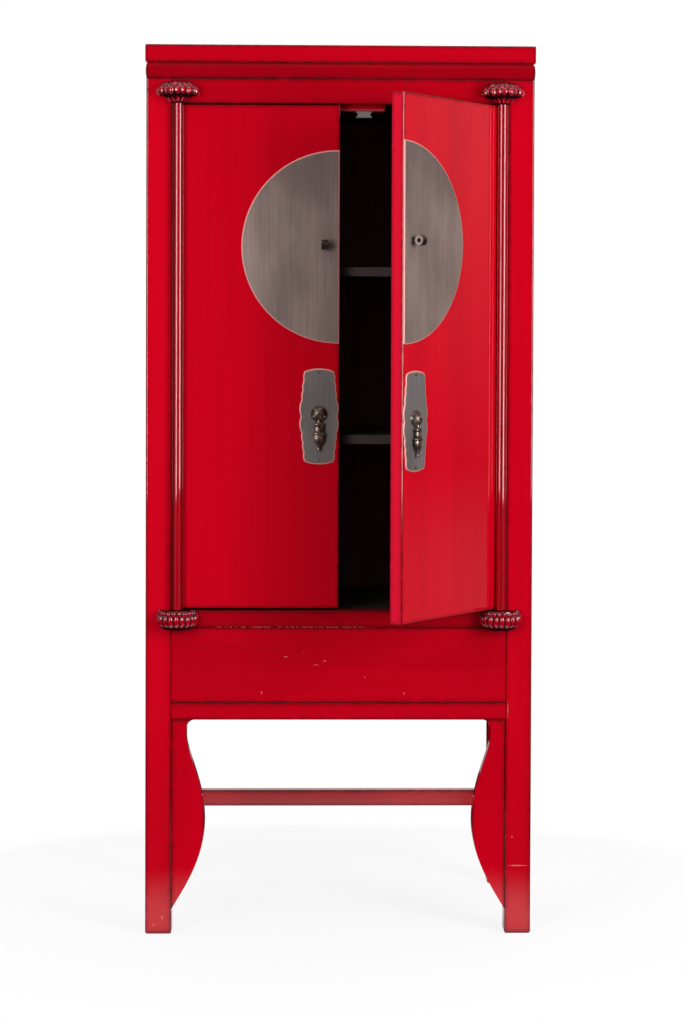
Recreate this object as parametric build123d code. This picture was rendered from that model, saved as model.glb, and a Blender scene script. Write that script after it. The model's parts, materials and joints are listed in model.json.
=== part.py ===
from build123d import *
from math import atan2, degrees
import os

# Chinese wedding cabinet: a tall lacquered cupboard on four legs, with two doors that turn on
# round pivot rods between carved lotus sockets.
# Row frame: +X to the right, +Y into the cabinet, +Z up. The origin is on the floor, under the
# middle of the carcass. All sizes are in millimetres.

# ---------------------------------------------------------------- carcass
body_width = 816            # over the legs
body_depth = 460            # over the legs
leg_width = 55              # along X
leg_depth = 45              # along Y
leg_round = 4               # outer corner of a leg
foot_round = 5              # edge around the sole of a foot
arris = 1.2                 # eased edge of a board or rail
seam_width = 2              # of the bevel on a leg beside the panels below the doors

# ---------------------------------------------------------------- front, from the floor up
clear_height = 455          # floor to the apron
apron_height = 36
belly_height = 159
sill_height = 36
doorway_height = 1067
lintel_height = 52
frieze_height = 34
cap_height = 37

# ---------------------------------------------------------------- rails, panels and joints
lintel_depth = 36
sill_depth = 36
apron_depth = 30
belly_thickness = 14
belly_recess = 2            # behind the faces of the legs
side_rail_width = 34
side_rail_height = 36       # lower rail of a side
back_rail_depth = 30
back_rail_height = 36       # lower rail of the back
panel_thickness = 10        # side and back panels
side_panel_recess = 4
back_panel_recess = 14
panel_tongue = 8            # how far a panel enters its groove
tenon_length = 24
tenon_shoulder = 6          # step between a rail's faces and its tenon
joint_gap = 0.2             # room around a tenon or a panel's tongue

# ---------------------------------------------------------------- stretchers
stretcher_height = 36
stretcher_thickness = 25
back_stretcher_level = 179  # underside above the floor
side_stretcher_level = 232  # underside above the floor

# ---------------------------------------------------------------- crown
cap_reach = 2               # cap beyond the legs, front, back and sides
cap_rail_width = 75
cap_round = 3
cap_panel_drop = 2          # top panel below the cap's upper face
cap_panel_thickness = 16
cap_tongue_thickness = 6
frieze_reach = 1
frieze_bulge = 1.5          # height of the frieze's rounded face
quirk_height = 4            # shadow groove over the rounded face
quirk_depth = 3.5

# ---------------------------------------------------------------- spandrels
spandrel_thickness = 25
spandrel_recess = 1.5
spandrel_neck = 32          # width below the apron
spandrel_cove = 18          # rounded corner under the apron
spandrel_neck_drop = 35     # from the apron down to where the neck starts to widen
spandrel_belly = 70.5       # greatest width
spandrel_belly_drop = 215   # from the apron down to the greatest width
spandrel_toe_level = 52     # where the curve meets the leg

# ---------------------------------------------------------------- inside
board_thickness = 19
lower_shelf_level = 1055    # upper face
upper_shelf_level = 1412    # upper face
shelf_set_back = 46         # front edge behind the faces of the legs
batten_width = 18
batten_height = 20
fit_gap = 0.5               # room around a loose board

# ---------------------------------------------------------------- doors
right_door_angle = 51       # how far the right door stands open
leaf_thickness = 30
leaf_recess = 3.5           # behind the faces of the legs
leaf_round = 1.8
meeting_gap = 2             # between the two leaves
post_gap = 1.5              # between a leaf and its leg
head_gap = 2                # between a leaf and the lintel
rod_radius = 11.5
rod_proud = 6               # pivot axis in front of the faces of the legs
rod_post_gap = 1            # between a rod and the corner of its leg
pin_radius = 4.5
pin_length = 22
pin_clearance = 0.05        # radial, in its bore
shoulder_gap = 0.5          # between a rod's shoulder and its lotus
glue_gap = 0.05             # between a rod and its cove in the leaf

# ---------------------------------------------------------------- lotus sockets
lotus_radius = 45
lotus_height = 48
lotus_rise = 3              # lower lotus above the sill
lotus_petals = 20           # around the full circle
petal_groove = 3            # radius of the groove between petals
lotus_foot = 15             # radius of the calyx at its lower end
lotus_rim = 37              # radius of the flower's upper face
calyx_height = 14
calyx_radius = 29           # where the calyx meets the petals
lift_room = 8               # extra depth of the upper bores

# ---------------------------------------------------------------- half-moon plates and lock eyes
plate_thickness = 2
plate_bevel_width = 2.6     # polished bevel around a plate
plate_bevel_height = 1.2
moon_radius = 203
moon_reach = 208            # from the meeting line to the plate's far edge
moon_level = 1453           # centre
plate_edge_gap = 1          # between a plate and the leaf's free edge
eye_across = 33             # from the meeting line to the eye's middle
eye_level = 1457
eye_length = 14             # along the width of the leaf
eye_radius = 10.5
eye_bore = 4.5              # radius
eye_proud = 18.5            # bore axis in front of the plate
eye_neck = 12               # height of the neck between eye and plate

# ---------------------------------------------------------------- handle plates
handle_level = 1096         # centre
handle_height = 202
handle_end_width = 62       # across the top and the bottom
handle_lobe_width = 83      # across the two middle lobes
handle_waist_width = 77     # across the notch between the lobes
handle_lobe_height = 35     # one middle lobe
handle_arch = 6             # rise of the arched ends
handle_scallops = 3         # from each end to the middle lobes
handle_scallop_bulge = 1.6

# ---------------------------------------------------------------- drop pulls
boss_level = 1101           # centre
boss_radius = 17.5
boss_proud = 13
pull_pin_radius = 2
pull_pin_level = 1096
pull_pin_proud = 7.5        # axis in front of the handle plate
knuckle_radius = 5
knuckle_width = 9
slot_gap = 0.6              # each side of the knuckle
pull_running_gap = 0.06     # radial, around the pull's pin
flange_top_level = 1081     # upper face of the upper flange
flange_thickness = 4
upper_flange = (12.5, 5.5)  # half width and half thickness
barrel_height = 15
barrel = (10.5, 4.6)
lower_flange = (15, 6)
bud_height = 28
bud_top = (13, 5.5)
bud_tip = (3.2, 3)
drop_ball_radius = 4

# ---------------------------------------------------------------- stop block, catches and nails
stop_half_width = 95
stop_drop = 12              # below the lintel
stop_height = 44
stop_thickness = 30
catch_across = 50           # from the meeting line to the catch's middle
catch_width = 33
catch_height = 13
catch_depth = 22
pole_thickness = 3
strike_width = 26
strike_height = 12
strike_thickness = 1.5
strike_gap = 0.6            # between a strike plate and its catch
nail_radius = 2.2
nail_head = 1.2
nail_margin = 8             # from an end of the handle plate to its nail

# ---------------------------------------------------------------- levels and faces worked out from the sizes
front = -body_depth / 2
back = body_depth / 2
leg_inner = body_width / 2 - leg_width
leg_back = front + leg_depth
belly_level = clear_height + apron_height
sill_level = belly_level + belly_height
doorway_bottom = sill_level + sill_height
doorway_top = doorway_bottom + doorway_height
leg_height = doorway_top + lintel_height
cap_level = leg_height + frieze_height
total_height = cap_level + cap_height

pivot_x = leg_inner - rod_post_gap - rod_radius
pivot_y = front - rod_proud
leaf_front = front + leaf_recess
leaf_back = leaf_front + leaf_thickness
leaf_bottom = doorway_bottom + lotus_rise + post_gap
leaf_top = doorway_top - head_gap
leaf_free = meeting_gap / 2
leaf_hinge = leg_inner - post_gap
plate_face = leaf_front - plate_thickness
lower_lotus_level = doorway_bottom + lotus_rise - lotus_height
upper_lotus_level = doorway_top - 1
side_panel_outer = body_width / 2 - side_panel_recess
side_panel_inner = side_panel_outer - panel_thickness
back_panel_back = back - back_panel_recess
back_panel_front = back_panel_back - panel_thickness
pull_x = leaf_free + plate_edge_gap + handle_lobe_width / 2
pull_y = plate_face - pull_pin_proud


# ---------------------------------------------------------------- helpers
def block(lo, hi):
    """A box between two opposite corners."""
    size = [b - a for a, b in zip(lo, hi)]
    middle = [(a + b) / 2 for a, b in zip(lo, hi)]
    return Pos(*middle) * Box(*size)


def grown(lo, hi, by):
    """The box between two corners with room added on every side."""
    return block([a - by for a in lo], [b + by for b in hi])


def both_sides(name, piece):
    """A right-hand piece and its mirror image, under their own names."""
    return {name + "_right": piece, name + "_left": mirror(piece, about=Plane.YZ)}


def rail(lo, hi, along, rise=0):
    """A rail with a tenon on each end, and the mortises that the tenons need.

    The rail runs along X (0) or Y (1), and may rise above the shoulders of its tenons.
    """
    tenon_lo = [a + tenon_shoulder for a in lo]
    tenon_hi = [b - tenon_shoulder for b in hi]
    mortises = []
    solid = block(lo, (hi[0], hi[1], hi[2] + rise))
    solid = fillet(solid.edges().filter_by((Axis.X, Axis.Y)[along]), arris)
    for start, stop in ((lo[along] - tenon_length, lo[along]), (hi[along], hi[along] + tenon_length)):
        tenon_lo[along] = start
        tenon_hi[along] = stop
        solid += block(tenon_lo, tenon_hi)
        mortises.append(grown(tenon_lo, tenon_hi, joint_gap))
    return solid, mortises


def panel(lo, hi):
    """A thin panel that already includes its tongues, and the grooves that the tongues need."""
    return block(lo, hi), grown(lo, hi, joint_gap)


def cylinder_x(x, y, z, radius, length):
    """A cylinder along X, centred on a point."""
    return Pos(x, y, z) * Rot(0, 90, 0) * Cylinder(radius, length)


def cylinder_y(x, y, z, radius, length):
    """A cylinder along Y, centred on a point."""
    return Pos(x, y, z) * Rot(90, 0, 0) * Cylinder(radius, length)


# ---------------------------------------------------------------- frame of the carcass
def front_rails():
    """Lintel, sill and apron across the front, flush with the legs."""
    lintel = rail((-leg_inner, front, doorway_top), (leg_inner, front + lintel_depth, leg_height), 0)
    sill = rail((-leg_inner, front, sill_level), (leg_inner, front + sill_depth, doorway_bottom), 0)
    apron = rail((-leg_inner, front, clear_height), (leg_inner, front + apron_depth, belly_level), 0)
    return {"front_top_rail": lintel, "front_sill_rail": sill, "front_apron_rail": apron}


def back_rails():
    """Rails across the back. The upper one reaches up to the cap."""
    inner = back - back_rail_depth
    top = rail((-leg_inner, inner, doorway_top), (leg_inner, back, leg_height), 0, frieze_height)
    bottom_top = clear_height + back_rail_height
    bottom = rail((-leg_inner, inner, clear_height), (leg_inner, back, bottom_top), 0)
    return {"back_top_rail": top, "back_bottom_rail": bottom}


def side_rails():
    """Upper and lower rail of the right side, flush with the legs."""
    inner = body_width / 2 - side_rail_width
    outer = body_width / 2
    top = rail((inner, leg_back, doorway_top), (outer, -leg_back, leg_height), 1)
    bottom_top = clear_height + side_rail_height
    bottom = rail((inner, leg_back, clear_height), (outer, -leg_back, bottom_top), 1)
    return {"side_top_rail": top, "side_bottom_rail": bottom}


def stretchers():
    """Low stretchers between the legs, behind and at the right side."""
    middle_y = back - leg_depth / 2
    middle_x = body_width / 2 - leg_width / 2
    half = stretcher_thickness / 2
    behind = rail(
        (-leg_inner, middle_y - half, back_stretcher_level),
        (leg_inner, middle_y + half, back_stretcher_level + stretcher_height),
        0,
    )
    beside = rail(
        (middle_x - half, leg_back, side_stretcher_level),
        (middle_x + half, -leg_back, side_stretcher_level + stretcher_height),
        1,
    )
    return {"back_stretcher": behind}, {"side_stretcher": beside}


def belly_panel():
    """Plain board between apron and sill, in grooves of the legs and both rails."""
    lo = (-leg_inner - panel_tongue, front + belly_recess, belly_level)
    hi = (leg_inner + panel_tongue, front + belly_recess + belly_thickness, sill_level)
    return panel(lo, hi)


def side_panel():
    """Panel of the right side, in grooves of two legs and two rails."""
    lo = (side_panel_inner, leg_back - panel_tongue, clear_height + side_rail_height - panel_tongue)
    hi = (side_panel_outer, -leg_back + panel_tongue, doorway_top + panel_tongue)
    return panel(lo, hi)


def back_panel():
    """Panel of the back, in grooves of two legs and two rails."""
    lo = (-leg_inner - panel_tongue, back_panel_front, clear_height + back_rail_height - panel_tongue)
    hi = (leg_inner + panel_tongue, back_panel_back, doorway_top + panel_tongue)
    return panel(lo, hi)


def leg(side_y):
    """Right-hand leg before its mortises, at the front (-1) or the back (1)."""
    near, far = sorted((side_y * (body_depth / 2 - leg_depth), side_y * body_depth / 2))
    solid = block((leg_inner, near, 0), (body_width / 2, far, leg_height))
    outer = solid.edges().filter_by(Axis.Z).sort_by(Axis.X)[-2:]
    solid = fillet(outer, leg_round)
    solid = fillet(solid.faces().sort_by(Axis.Z)[0].edges(), foot_round)
    bevel = Rot(0, 0, 45) * Box(seam_width, seam_width, sill_level)
    return solid - Pos(leg_inner, side_y * body_depth / 2, sill_level / 2) * bevel


def spandrel():
    """Right-hand spandrel: narrow under the apron, swelling towards the foot."""
    neck = leg_inner - spandrel_neck
    belly = leg_inner - spandrel_belly
    neck_level = clear_height - spandrel_neck_drop
    belly_level_below = clear_height - spandrel_belly_drop
    cove_level = clear_height - spandrel_cove
    widen = (neck_level - belly_level_below) / 5
    swell = (belly_level_below - spandrel_toe_level) * 0.42
    toe_run = (belly_level_below - spandrel_toe_level) / 4
    corner = (neck - spandrel_cove, clear_height)
    outline = [
        Line((leg_inner, clear_height), corner),
        RadiusArc(corner, (neck, cove_level), spandrel_cove),
        Line((neck, cove_level), (neck, neck_level)),
        Bezier(
            (neck, neck_level),
            (neck, neck_level - widen),
            (belly, belly_level_below + widen * 2.3),
            (belly, belly_level_below),
        ),
        Bezier(
            (belly, belly_level_below),
            (belly, belly_level_below - swell),
            (leg_inner - toe_run * 0.6, spandrel_toe_level + toe_run),
            (leg_inner, spandrel_toe_level),
        ),
        Line((leg_inner, spandrel_toe_level), (leg_inner, clear_height)),
    ]
    board = extrude(Plane.XZ * make_face(outline), spandrel_thickness / 2, both=True)
    swept = board.faces().sort_by(Axis.Y)[0].edges().filter_by(GeomType.LINE, reverse=True)
    board = fillet(swept, arris)
    return Pos(0, front + spandrel_recess + spandrel_thickness / 2, 0) * board


# ---------------------------------------------------------------- crown
def moulding(section, reach, start, stop, width, mitre_start, mitre_stop):
    """A length of moulding along X with its outer face towards -Y and mitred or square ends."""
    plane = Plane(origin=(start, -reach, 0), x_dir=(0, 1, 0), z_dir=(1, 0, 0))
    bar = extrude(plane * section, stop - start)
    inner_start = start + (width if mitre_start else 0)
    inner_stop = stop - (width if mitre_stop else 0)
    plan = Polyline(
        (start, -reach), (stop, -reach), (inner_stop, width - reach), (inner_start, width - reach), close=True
    )
    return bar & extrude(make_face(plan), total_height)


def cap_section():
    """Section of a cap rail: square, with its two outer corners rounded."""
    width = cap_rail_width
    face = Pos(width / 2, cap_level + cap_height / 2) * Rectangle(width, cap_height)
    outer = face.vertices().sort_by(Axis.X)[:2]
    return fillet(outer, cap_round)


def frieze_section():
    """Section of the frieze: a low round face under a shadow groove."""
    width = leg_width + frieze_reach
    face_top = cap_level - quirk_height
    middle = (leg_height + face_top) / 2
    outline = [
        ThreePointArc((frieze_bulge, leg_height), (0, middle), (frieze_bulge, face_top)),
        Line((frieze_bulge, face_top), (quirk_depth, face_top)),
        Line((quirk_depth, face_top), (quirk_depth, cap_level)),
        Line((quirk_depth, cap_level), (width, cap_level)),
        Line((width, cap_level), (width, leg_height)),
        Line((width, leg_height), (frieze_bulge, leg_height)),
    ]
    return make_face(outline)


def cap_frame():
    """Four mitred rails, with a groove for the top panel."""
    half_x = body_width / 2 + cap_reach
    half_y = body_depth / 2 + cap_reach
    section = cap_section()
    front_rail = moulding(section, half_y, -half_x, half_x, cap_rail_width, True, True)
    side_rail = moulding(section, half_x, -half_y, half_y, cap_rail_width, True, True)
    rails = {
        "cap_front": front_rail,
        "cap_back": Rot(0, 0, 180) * front_rail,
        "cap_right": Rot(0, 0, 90) * side_rail,
        "cap_left": Rot(0, 0, -90) * side_rail,
    }
    inner_x = half_x - cap_rail_width
    inner_y = half_y - cap_rail_width
    panel_top = total_height - cap_panel_drop
    panel_bottom = panel_top - cap_panel_thickness
    tongue_lo = (-inner_x - panel_tongue, -inner_y - panel_tongue, panel_bottom)
    tongue_hi = (inner_x + panel_tongue, inner_y + panel_tongue, panel_bottom + cap_tongue_thickness)
    groove = grown(tongue_lo, tongue_hi, joint_gap)
    board_lo = (-inner_x + fit_gap, -inner_y + fit_gap, panel_bottom)
    board_hi = (inner_x - fit_gap, inner_y - fit_gap, panel_top)
    pieces = {name: bar - groove for name, bar in rails.items()}
    pieces["top_panel"] = block(board_lo, board_hi) + block(tongue_lo, tongue_hi)
    return pieces


def frieze():
    """Rounded moulding under the cap, at the front and both sides."""
    half_x = body_width / 2 + frieze_reach
    half_y = body_depth / 2 + frieze_reach
    width = leg_width + frieze_reach
    section = frieze_section()
    side = moulding(section, half_x, -half_y, back, width, True, False)
    right = Rot(0, 0, 90) * side
    return {
        "frieze_front": moulding(section, half_y, -half_x, half_x, width, True, True),
        **both_sides("frieze", right),
    }


# ---------------------------------------------------------------- inside
def board(upper_face, front_edge):
    """A loose board that fills the inside and is notched around the legs."""
    lower_face = upper_face - board_thickness
    wide = side_panel_inner - fit_gap
    narrow = leg_inner - fit_gap
    leg_free = -leg_back - fit_gap
    reach = back_panel_front - fit_gap
    middle = block((-narrow, front_edge, lower_face), (narrow, reach, upper_face))
    return middle + block((-wide, max(front_edge, -leg_free), lower_face), (wide, leg_free, upper_face))


def boards():
    """Floor and two shelves, each on a pair of battens along the sides."""
    shelf_front = front + shelf_set_back
    floor_front = front + sill_depth + fit_gap
    battens = []
    for level in (doorway_bottom, lower_shelf_level, upper_shelf_level):
        top = level - board_thickness
        for side in (-1, 1):
            x0, x1 = sorted((side * side_panel_inner, side * (side_panel_inner - batten_width)))
            battens.append(block((x0, leg_back, top - batten_height), (x1, -leg_back, top)))
    return {
        "floor_board": board(doorway_bottom, floor_front),
        "shelf_lower": board(lower_shelf_level, shelf_front),
        "shelf_upper": board(upper_shelf_level, shelf_front),
        "shelf_battens": Compound(battens),
    }


def stop_block():
    """Wooden block behind the lintel that both leaves shut against."""
    low = doorway_top - stop_drop
    y0 = front + lintel_depth
    solid = block((-stop_half_width, y0, low), (stop_half_width, y0 + stop_thickness, low + stop_height))
    ends = solid.edges().filter_by(Axis.Y).group_by(Axis.Z)[0]
    return fillet(ends, stop_drop / 2)


def magnet_catches():
    """Two magnet catches under the stop block, each a magnet between two steel pole plates."""
    top = doorway_top - stop_drop
    y0 = leaf_back + strike_thickness + strike_gap
    solids = []
    for side in (-1, 1):
        x0 = side * catch_across - catch_width / 2
        x1 = side * catch_across + catch_width / 2
        upper = top - pole_thickness
        lower = top - catch_height
        solids.append(block((x0, y0, upper), (x1, y0 + catch_depth, top)))
        solids.append(block((x0, y0, lower), (x1, y0 + catch_depth, lower + pole_thickness)))
        magnet_lo = (x0 + pole_thickness, y0 + 1, lower + pole_thickness)
        solids.append(block(magnet_lo, (x1 - pole_thickness, y0 + catch_depth, upper)))
    return Compound(solids)


# ---------------------------------------------------------------- lotus sockets
def lotus(level, opens_up, bore_depth):
    """Right-hand lotus blossom on the frame face, bored on the pivot axis at its rod end."""
    middle = (calyx_height + lotus_height) / 2
    outline = [
        Line((0, 0), (lotus_foot, 0)),
        RadiusArc((lotus_foot, 0), (calyx_radius, calyx_height), 3 * calyx_height),
        ThreePointArc((calyx_radius, calyx_height), (lotus_radius, middle), (lotus_rim, lotus_height)),
        Line((lotus_rim, lotus_height), (0, lotus_height)),
        Line((0, lotus_height), (0, 0)),
    ]
    bloom = revolve(Plane.XZ * make_face(outline), Axis.Z)
    groove_ring = lotus_radius + petal_groove / 3
    petals_height = lotus_height - calyx_height
    for petal in range(lotus_petals):
        groove = Pos(groove_ring, 0, calyx_height + petals_height / 2) * Cylinder(petal_groove, petals_height)
        bloom -= Rot(0, 0, 360 / lotus_petals * (petal + 0.5)) * groove
    bore = Cylinder(pin_radius + pin_clearance, bore_depth, align=(Align.CENTER, Align.CENTER, Align.MIN))
    if opens_up:
        bloom -= bore
    else:
        bloom -= Pos(0, 0, lotus_height - bore_depth) * bore
    bloom = Pos(pivot_x, pivot_y, level) * bloom
    frame_side = block((0, front, level - 1), (body_width, back, level + lotus_height + 1))
    return bloom - frame_side


# ---------------------------------------------------------------- doors, drawn shut, right hand
def leaf():
    """Plain board with eased edges and a cove for the rod."""
    solid = block((leaf_free, leaf_front, leaf_bottom), (leaf_hinge, leaf_back, leaf_top))
    solid = fillet(solid.edges().filter_by(Axis.Z).sort_by(Axis.X)[:2], leaf_round)
    solid = fillet(solid.edges().filter_by(Axis.X).sort_by(Axis.Y)[:2], arris)
    cove = Cylinder(rod_radius + glue_gap, leaf_top - leaf_bottom + 10)
    return solid - Pos(pivot_x, pivot_y, (leaf_top + leaf_bottom) / 2) * cove


def pivot_rod():
    """Round rod with a turned pin at each end."""
    low = lower_lotus_level + lotus_height + shoulder_gap
    high = upper_lotus_level - shoulder_gap
    column = Cylinder(rod_radius, high - low)
    pins = Cylinder(pin_radius, high - low + 2 * pin_length)
    return Pos(pivot_x, pivot_y, (low + high) / 2) * (column + pins)


def leaf_plate(outline):
    """A metal plate on the face of the leaf, with a bevel all round, from its outline seen from the front."""
    straight = plate_thickness - plate_bevel_height
    slope = degrees(atan2(plate_bevel_width, plate_bevel_height))
    plate = extrude(outline, straight)
    plate += Pos(0, 0, straight) * extrude(outline, plate_bevel_height, taper=slope)
    return Pos(0, leaf_front, 0) * (Plane.XZ * plate)


def moon_plate():
    """Half of the round plate, cut straight along the leaf's free edge."""
    edge = leaf_free + plate_edge_gap
    half = Pos(edge + moon_reach / 2, moon_level) * Rectangle(moon_reach, 2 * moon_radius)
    return leaf_plate(half & Pos(moon_reach - moon_radius, moon_level) * Circle(moon_radius))


def lock_eye():
    """Stout eye for the bar of a padlock, bored along the width of the leaf."""
    y = plate_face - eye_proud
    half = eye_length / 2
    eye = cylinder_x(eye_across, y, eye_level, eye_radius, eye_length)
    neck_lo = (eye_across - half, y, eye_level - eye_neck / 2)
    eye += block(neck_lo, (eye_across + half, plate_face, eye_level + eye_neck / 2))
    return eye - cylinder_x(eye_across, y, eye_level, eye_bore, eye_length + 2)


def handle_outline():
    """Upper right quarter of the handle plate's outline: a middle lobe, small scallops and an arched end."""
    half_end = handle_end_width / 2
    half_lobe = handle_lobe_width / 2
    half_waist = handle_waist_width / 2
    arch_level = handle_height / 2 - handle_arch
    step = (arch_level - handle_lobe_height) / handle_scallops
    slope = (half_waist - handle_scallop_bulge - half_end) / handle_scallops
    knots = [(half_end + slope * i, arch_level - step * i) for i in range(handle_scallops, -1, -1)]
    curves = [ThreePointArc((half_waist, 0), (half_lobe, handle_lobe_height / 2), knots[0])]
    for below, above in zip(knots, knots[1:]):
        bulge = ((above[0] + below[0]) / 2 + handle_scallop_bulge, (above[1] + below[1]) / 2)
        curves.append(ThreePointArc(below, bulge, above))
    brow = (half_end * 0.6, arch_level + handle_arch * 0.7)
    curves.append(ThreePointArc(knots[-1], brow, (0, handle_height / 2)))
    return curves


def handle_plate():
    """Scalloped plate behind the pull."""
    quarter = Curve() + handle_outline()
    half = quarter + mirror(quarter, about=Plane.XZ)
    outline = half + mirror(half, about=Plane.YZ)
    return leaf_plate(Pos(pull_x, handle_level) * make_face(outline))


def pull_boss():
    """Domed boss with a slot for the knuckle of the drop and a hole for its pin."""
    dome_radius = (boss_radius**2 + boss_proud**2) / (2 * boss_proud)
    centre_y = plate_face - boss_proud + dome_radius
    dome = Pos(pull_x, centre_y, boss_level) * Sphere(dome_radius)
    keep_lo = (pull_x - dome_radius, plate_face - boss_proud, boss_level - dome_radius)
    dome &= block(keep_lo, (pull_x + dome_radius, plate_face, boss_level + dome_radius))
    half_slot = knuckle_width / 2 + slot_gap
    slot_top = pull_pin_level + knuckle_radius + slot_gap
    slot_lo = (pull_x - half_slot, plate_face - boss_proud, boss_level - dome_radius)
    dome -= block(slot_lo, (pull_x + half_slot, plate_face, slot_top))
    return dome - cylinder_x(pull_x, pull_y, pull_pin_level, pull_pin_radius, 2 * boss_radius)


def pull_pin():
    """Short pin across the boss's slot."""
    reach = boss_radius * 0.72
    return cylinder_x(pull_x, pull_y, pull_pin_level, pull_pin_radius, 2 * reach)


def stacked(size, low, height):
    """An upright elliptical slice of the drop, from a half width and a half thickness."""
    return Pos(pull_x, pull_y, low) * extrude(Ellipse(*size), height)


def pull_drop():
    """Lantern-shaped drop that swings on the pin: knuckle, neck, flanged barrel, bud and ball."""
    half = knuckle_width / 2
    solid = cylinder_x(pull_x, pull_y, pull_pin_level, knuckle_radius, knuckle_width)
    neck_lo = (pull_x - half, pull_y - knuckle_radius * 0.7, flange_top_level - 1)
    solid += block(neck_lo, (pull_x + half, pull_y + knuckle_radius * 0.7, pull_pin_level))
    upper_low = flange_top_level - flange_thickness
    barrel_low = upper_low - barrel_height
    lower_low = barrel_low - flange_thickness
    bud_low = lower_low - bud_height
    solid += stacked(upper_flange, upper_low, flange_thickness)
    solid += stacked(barrel, barrel_low, barrel_height)
    solid += stacked(lower_flange, lower_low, flange_thickness)
    bud = loft([Pos(0, 0, bud_low) * Ellipse(*bud_tip), Pos(0, 0, lower_low) * Ellipse(*bud_top)])
    solid += Pos(pull_x, pull_y, 0) * bud
    solid += Pos(pull_x, pull_y, bud_low) * Sphere(drop_ball_radius)
    pin_hole = pull_pin_radius + pull_running_gap
    return solid - cylinder_x(pull_x, pull_y, pull_pin_level, pin_hole, knuckle_width + 2)


def handle_nails():
    """Nail heads near the two ends of the handle plate."""
    reach = handle_height / 2 - nail_margin
    middle_y = plate_face - nail_head / 2
    levels = (handle_level - reach, handle_level + reach)
    return Compound([cylinder_y(pull_x, middle_y, level, nail_radius, nail_head) for level in levels])


def strike_plate():
    """Steel plate on the back of the leaf, opposite the magnet."""
    x0 = catch_across - strike_width / 2
    z1 = doorway_top - stop_drop
    lo = (x0, leaf_back, z1 - strike_height)
    return block(lo, (x0 + strike_width, leaf_back + strike_thickness, z1))


def door_pieces():
    """Every piece that turns with the right-hand door, drawn shut."""
    return {
        "door_leaf": leaf(),
        "pivot_rod": pivot_rod(),
        "moon_plate": moon_plate(),
        "lock_eye": lock_eye(),
        "handle_plate": handle_plate(),
        "pull_boss": pull_boss(),
        "pull_pin": pull_pin(),
        "pull_drop": pull_drop(),
        "handle_nails": handle_nails(),
        "strike_plate": strike_plate(),
    }


# ---------------------------------------------------------------- the whole cabinet
def cabinet():
    """Every piece by name: the left door shut and the right door standing open."""
    behind, beside = stretchers()
    across = {**front_rails(), **back_rails(), **behind}
    sideways = {**side_rails(), **beside}
    belly, belly_groove = belly_panel()
    side, side_groove = side_panel()
    rear, rear_groove = back_panel()

    mortises = [cut for _, cuts in [*across.values(), *sideways.values()] for cut in cuts]
    mortises += [belly_groove, side_groove, rear_groove]
    pieces = {}
    for side_y, name in ((-1, "leg_front"), (1, "leg_back")):
        pieces.update(both_sides(name, leg(side_y) - mortises))
    for name, (solid, _) in across.items():
        pieces[name] = solid - [belly_groove, rear_groove]
    for name, (solid, _) in sideways.items():
        pieces.update(both_sides(name, solid - side_groove))
    pieces["belly_panel"] = belly
    pieces["back_panel"] = rear
    pieces.update(both_sides("side_panel", side))
    pieces.update(both_sides("spandrel", spandrel()))
    pieces.update(cap_frame())
    pieces.update(frieze())
    pieces.update(boards())
    pieces["stop_block"] = stop_block()
    pieces["magnet_catches"] = magnet_catches()
    lower = lotus(lower_lotus_level, False, pin_length + shoulder_gap)
    upper = lotus(upper_lotus_level, True, pin_length + lift_room)
    pieces.update(both_sides("lotus_lower", lower))
    pieces.update(both_sides("lotus_upper", upper))

    hinge = Axis((pivot_x, pivot_y, 0), (0, 0, 1))
    for name, solid in door_pieces().items():
        pieces[name + "_left"] = mirror(solid, about=Plane.YZ)
        pieces[name + "_right"] = solid.rotate(hinge, right_door_angle)
    return pieces


os.makedirs("parts", exist_ok=True)
for node, shape in cabinet().items():
    export_step(shape, f"parts/{node}.step")
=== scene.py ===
# %% [markdown]
# # A lacquered wedding cabinet
# The construction of the cabinet comes ready made: every board, rail, rod and plate is already there at its
# real size. This lesson dresses it. It sets up a small photo studio, gives each piece its finish, and models
# the carved and cast pieces that need more shape than a plain solid has.

# %% Load the construction
import json
from math import atan2, cos, degrees, pi, radians, sin, sqrt

import bmesh
import bpy
from mathutils import Matrix, Quaternion, Vector


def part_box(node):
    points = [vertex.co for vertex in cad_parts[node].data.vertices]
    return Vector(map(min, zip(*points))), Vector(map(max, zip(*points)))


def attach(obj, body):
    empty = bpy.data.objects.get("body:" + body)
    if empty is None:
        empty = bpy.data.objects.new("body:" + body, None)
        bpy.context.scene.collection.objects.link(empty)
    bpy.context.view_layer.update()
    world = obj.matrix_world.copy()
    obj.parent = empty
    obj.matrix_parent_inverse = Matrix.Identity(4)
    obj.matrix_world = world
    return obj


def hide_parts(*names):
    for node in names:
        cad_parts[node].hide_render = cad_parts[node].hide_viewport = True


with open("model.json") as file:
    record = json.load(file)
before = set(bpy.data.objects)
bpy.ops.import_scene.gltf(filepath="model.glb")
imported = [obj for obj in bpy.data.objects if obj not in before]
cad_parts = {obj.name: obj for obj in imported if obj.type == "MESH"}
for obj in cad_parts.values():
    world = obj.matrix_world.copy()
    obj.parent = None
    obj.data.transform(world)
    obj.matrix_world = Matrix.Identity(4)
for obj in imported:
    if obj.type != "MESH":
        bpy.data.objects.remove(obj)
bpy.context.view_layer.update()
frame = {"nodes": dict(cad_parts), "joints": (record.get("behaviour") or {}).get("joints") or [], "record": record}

MM = 0.001
nodes = frame["nodes"]
record = frame["record"]
slot_of = {part["node"]: part["material_slot"] for part in record["subparts"]}
body_of = {node: body for body, members in record["behaviour"]["bodies"].items() for node in members}

# %% [markdown]
# ## Where things are
# Pieces on the right door stand turned with it. The hinge says by how much, so a pattern or a piece can be
# laid out on the shut door and then turned, which is easier than to measure on a slanting board. Everything
# else is measured on the construction itself, so it follows when a size is changed there.

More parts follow.
